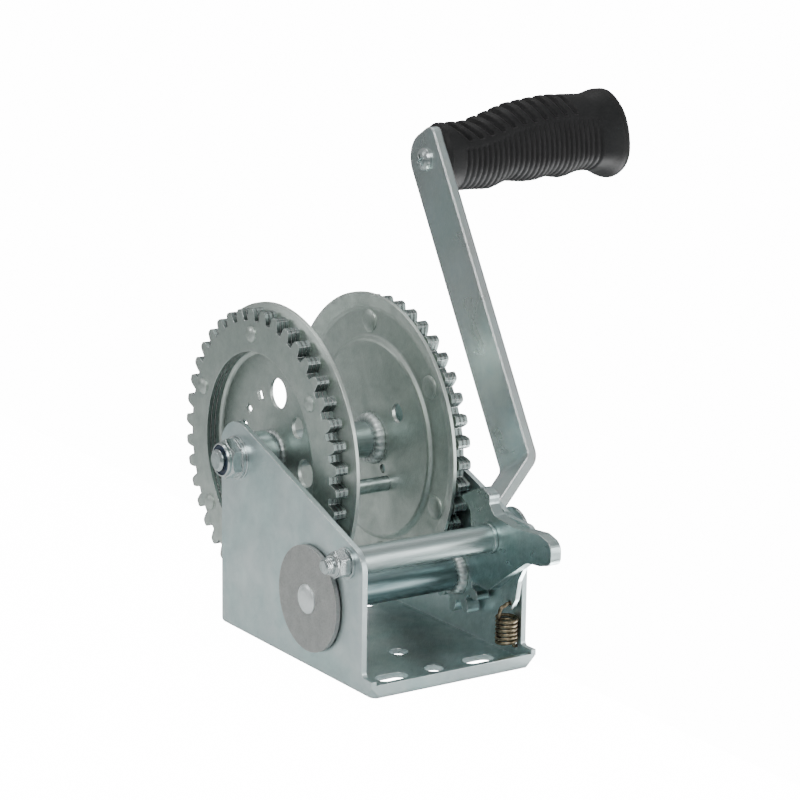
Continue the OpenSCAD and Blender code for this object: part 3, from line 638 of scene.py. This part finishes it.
# Where the ribs end below the thumb slots, as the sine of the angle above the grip's side.
RIB_BORDER = [(0, 0.24), (14, 0.34), (25, 0.38), (47, 0.52), (70, 0.60), (127, 0.60)]
THUMB_SLOTS = 11
THUMB_FIRST = 15.0
THUMB_PITCH = 7.6
THUMB_SLANT = 7.5
THUMB_DEPTH = 2.2
RIB_PITCH = 3.5
RIB_DEPTH = 0.95
GRIP_CUP_R = 10.5
GRIP_CUP_DEPTH = 22.0
GRIP_BORE_R = 6.08


def smooth_step(x, start, end):
    t = min(max((x - start) / (end - start), 0.0), 1.0)
    return t * t * (3 - 2 * t)


def grip_cut(x, rise):
    """How deep the moulded detail is cut, x along the grip and rise the sine of the angle above its side."""
    # Thumb slots slant back over the top.
    cut = 0.0
    lean = x + THUMB_SLANT * (rise - 0.6) / 0.4
    step = (lean - THUMB_FIRST) / THUMB_PITCH
    if -0.5 < step < THUMB_SLOTS - 0.5:
        from_centre = abs(step - round(step)) * THUMB_PITCH
        foot = 0.54 + 0.14 * step / THUMB_SLOTS
        across = 1 - smooth_step(from_centre, 1.2, 2.0)
        cut += THUMB_DEPTH * across * smooth_step(rise, foot, foot + 0.05)
    # Ribs ring the hand's side and the finger side.
    border = lookup(x, RIB_BORDER)
    along = smooth_step(x, 10, 12) * (1 - smooth_step(x, 104.5, 105.5))
    if along > 0:
        groove = (0.5 - 0.5 * math.cos(2 * math.pi * x / RIB_PITCH)) ** 2
        cut += RIB_DEPTH * groove * along * (1 - smooth_step(rise, border - 0.05, border + 0.02))
    return cut


def add_grip():
    """The moulded grip: its outer skin, then its cup and bore, lofted into one closed shape."""
    around = 144
    stations = [0, 0.4] + [1 + 0.5 * i for i in range(247)] + [124.8, 125.5, 126.2, 126.7, GRIP_TABLE_L]
    start = low("grip").x
    end = high("grip").x
    centre = Vector((0, grip_axis.y, grip_axis.z))
    verts = []
    for x in stations:
        reach = 2.5 if 3 < x < 123 else 0.6
        top, bottom, side = (soft(x, table, reach) for table in (GRIP_TOP, GRIP_LOW, GRIP_SIDE))
        for k in range(around):
            turn = 2 * math.pi * k / around
            rise = math.sin(turn)
            point = Vector((0, side * math.cos(turn), (top if rise > 0 else bottom) * rise))
            point *= 1 - grip_cut(x, rise) / point.length
            along = Vector((start + (end - start) * x / GRIP_TABLE_L, 0, 0))
            verts.append(along + centre + point * MM)
    inside = [
        (end, GRIP_CUP_R + 0.8), (end - 0.25 * MM, GRIP_CUP_R + 0.2), (end - 0.8 * MM, GRIP_CUP_R),
        (end - GRIP_CUP_DEPTH * MM, GRIP_CUP_R), (end - GRIP_CUP_DEPTH * MM, GRIP_BORE_R),
        (start, GRIP_BORE_R), (start, GRIP_BORE_R + 0.8),
    ]
    for x, r in inside:
        for k in range(around):
            turn = 2 * math.pi * k / around
            verts.append(Vector((x, 0, 0)) + centre + Vector((0, math.cos(turn), math.sin(turn))) * r * MM)
    faces = loft_faces(len(stations) + len(inside), around, closed=True)
    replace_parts(add_piece("moulded_grip", verts, faces, "grip", "grip_rubber"), "grip")


add_grip()

# ---------------------------------------------------------------- spring, weld beads and threads


SPRING_WIRE_R = 1.0 * MM
SPRING_R = 5.1 * MM
SPRING_AXIS = Vector((42 * MM, -61 * MM, 0))
SPRING_LOW = 10.9 * MM
SPRING_HIGH = 25.5 * MM
SPRING_TURNS = 6.5
SPRING_HOLE_Z = 8.5 * MM
ARM_HOLE_BACK = 9.8 * MM
SHEET = 3 * MM
# The hooks' points as [x, up] in millimetres: the lower one from the plate's outside and its hole,
# the upper one from the arm's outside and the pivot.
LOWER_HOOK = [(0.8, 2.0), (0.7, 0.9), (0.1, 0.2), (-0.8, 0)]
UPPER_HOOK = [
    (-7.6, -36.2), (-5.0, -34.9), (-3.4, -34.1), (-2.4, -34.0), (0.2, -34.0), (0.9, -34.6), (1.1, -35.8),
]


def add_spring():
    """A close coil with a hook down into the frame's hole and a hook up into the pawl's arm."""
    wall, y = high("frame").x, SPRING_AXIS.y
    arm_x, arm_y = high("pawl_spring_arm").x, pivot.y - ARM_HOLE_BACK
    points = [Vector((wall + dx * MM, y, SPRING_HOLE_Z + dz * MM)) for dx, dz in LOWER_HOOK]
    points.append(Vector((wall - SHEET - 0.2 * MM, y, SPRING_HOLE_Z)))
    points.append(Vector((wall - SHEET - 1.0 * MM, y, SPRING_HOLE_Z + 0.6 * MM)))
    steps = 40
    for i in range(int(SPRING_TURNS * steps) + 1):
        turn = 2 * math.pi * i / steps
        rise = (SPRING_HIGH - SPRING_LOW) * i / steps / SPRING_TURNS
        ring = Vector((math.cos(turn), math.sin(turn), 0)) * SPRING_R
        points.append(SPRING_AXIS + ring + Vector((0, 0, SPRING_LOW + rise)))
    points += [Vector((arm_x + dx * MM, arm_y, pivot.z + dz * MM)) for dx, dz in UPPER_HOOK]
    verts, faces = sweep(smooth_path(points), SPRING_WIRE_R, 14)
    spring = add_piece("coil_spring", verts, faces, None, "spring_wire")
    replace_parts(spring, "pawl_spring")
    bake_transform(spring)


def bead_rings(centre, core, rings):
    """Lumpy rings of weld on a core radius about an X axis, each ring (x, way, reach, height, lumps)."""
    around, rows = 120, 10
    overlap, sunk = 0.2 * MM, 0.05 * MM
    verts, faces = [], []
    for x, way, reach, tall, lumps in rings:
        start = len(verts)
        for k in range(around):
            turn = 2 * math.pi * k / around
            ripples = 0.04 * math.sin(23 * turn + x * 900) + 0.02 * math.sin(47 * turn)
            lump = 1 + lumps * (ripples + 0.05 * math.sin(5 * turn + 1))
            section = [
                (core - overlap + (reach * MM * lump + overlap) * math.cos(lift) ** 0.8,
                 -sunk + tall * MM * lump * math.sin(lift) ** 0.9)
                for lift in (math.pi / 2 * row / (rows - 1) for row in range(rows))
            ]
            section.append((core - overlap, -sunk))
            for r, out in section:
                y, z = centre.y + r * math.cos(turn), centre.z + r * math.sin(turn)
                verts.append(Vector((x + way * out, y, z)))
        faces += [tuple(start + i for i in face) for face in loft_faces(around, rows + 1, closed=True)]
    return verts, faces


def add_weld_beads():
    """Welds round the core tube, on both faces of each flange, and round the crank shaft at its pinions."""
    left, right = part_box("flange_left"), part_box("flange_right")
    core = (high("core_tube").z - low("core_tube").z) / 2
    shaft_r, dish, flange = 9 * MM, 2.2 * MM, 2 * MM
    dish_left, dish_right = left[0].x + dish, right[1].x - dish
    verts, faces = bead_rings(axle, core, [
        (dish_left + flange, 1, 4.0, 3.7, 1), (dish_left, -1, 2.4, 2.2, 1),
        (dish_right - flange, -1, 4.3, 5.4, 1), (dish_right, 1, 2.4, 2.2, 1),
    ])
    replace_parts(add_piece("lumpy_welds", verts, faces, "drum", "weld"), "weld_beads")
    verts, faces = bead_rings(shaft, shaft_r, [
        (low("pinion_right").x, -1, 3.2, 5.0, 1.6), (low("pinion_left").x, -1, 2.8, 4.5, 1.6),
    ])
    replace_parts(add_piece("lumpy_collars", verts, faces, "crank", "weld"), "shaft_collar")


def add_thread(name, centre, radius, pitch, x0, x1, body):
    """A fine helical crest round a bolt's end, from x0 to x1."""
    turns = (x1 - x0) / pitch
    steps = int(turns * 36)
    crest, root, width = radius + 0.35 * MM, radius - 0.15 * MM, pitch * 0.3
    verts = []
    for i in range(steps + 1):
        turn = 2 * math.pi * turns * i / steps
        x = x0 + (x1 - x0) * i / steps
        fade = min(1.0, i / 18, (steps - i) / 18)
        top = root + (crest - root) * fade
        for dx, r in ((-width, root), (-width * 0.2, top), (width * 0.2, top), (width, root)):
            verts.append(Vector((x + dx, centre.y + r * math.cos(turn), centre.z + r * math.sin(turn))))
    faces = loft_faces(steps + 1, 4)
    faces.append((0, 1, 2, 3))
    faces.append(tuple(4 * steps + k for k in (3, 2, 1, 0)))
    add_piece(name, verts, faces, body, "zinc_fasteners", smooth=False)


def add_threads():
    """Crests on the ends of the bolts and of the crank shaft that stand out of their nuts."""
    m8_r, m8_pitch, m12_r, m12_pitch = 4 * MM, 1.25 * MM, 6 * MM, 1.75 * MM
    tie_end, tie_nut = low("tie_bolt").x + 1.3 * MM, low("tie_nut").x + 0.3 * MM
    crank_nut, shaft_end = high("crank_nut").x - 0.3 * MM, high("crank_shaft").x - 0.9 * MM
    add_thread("tie_bolt_thread", pivot, m8_r, m8_pitch, tie_end, tie_nut, "base")
    add_thread("crank_shaft_thread", shaft, m12_r, m12_pitch, crank_nut, shaft_end, "crank")


add_spring()
add_weld_beads()
add_threads()
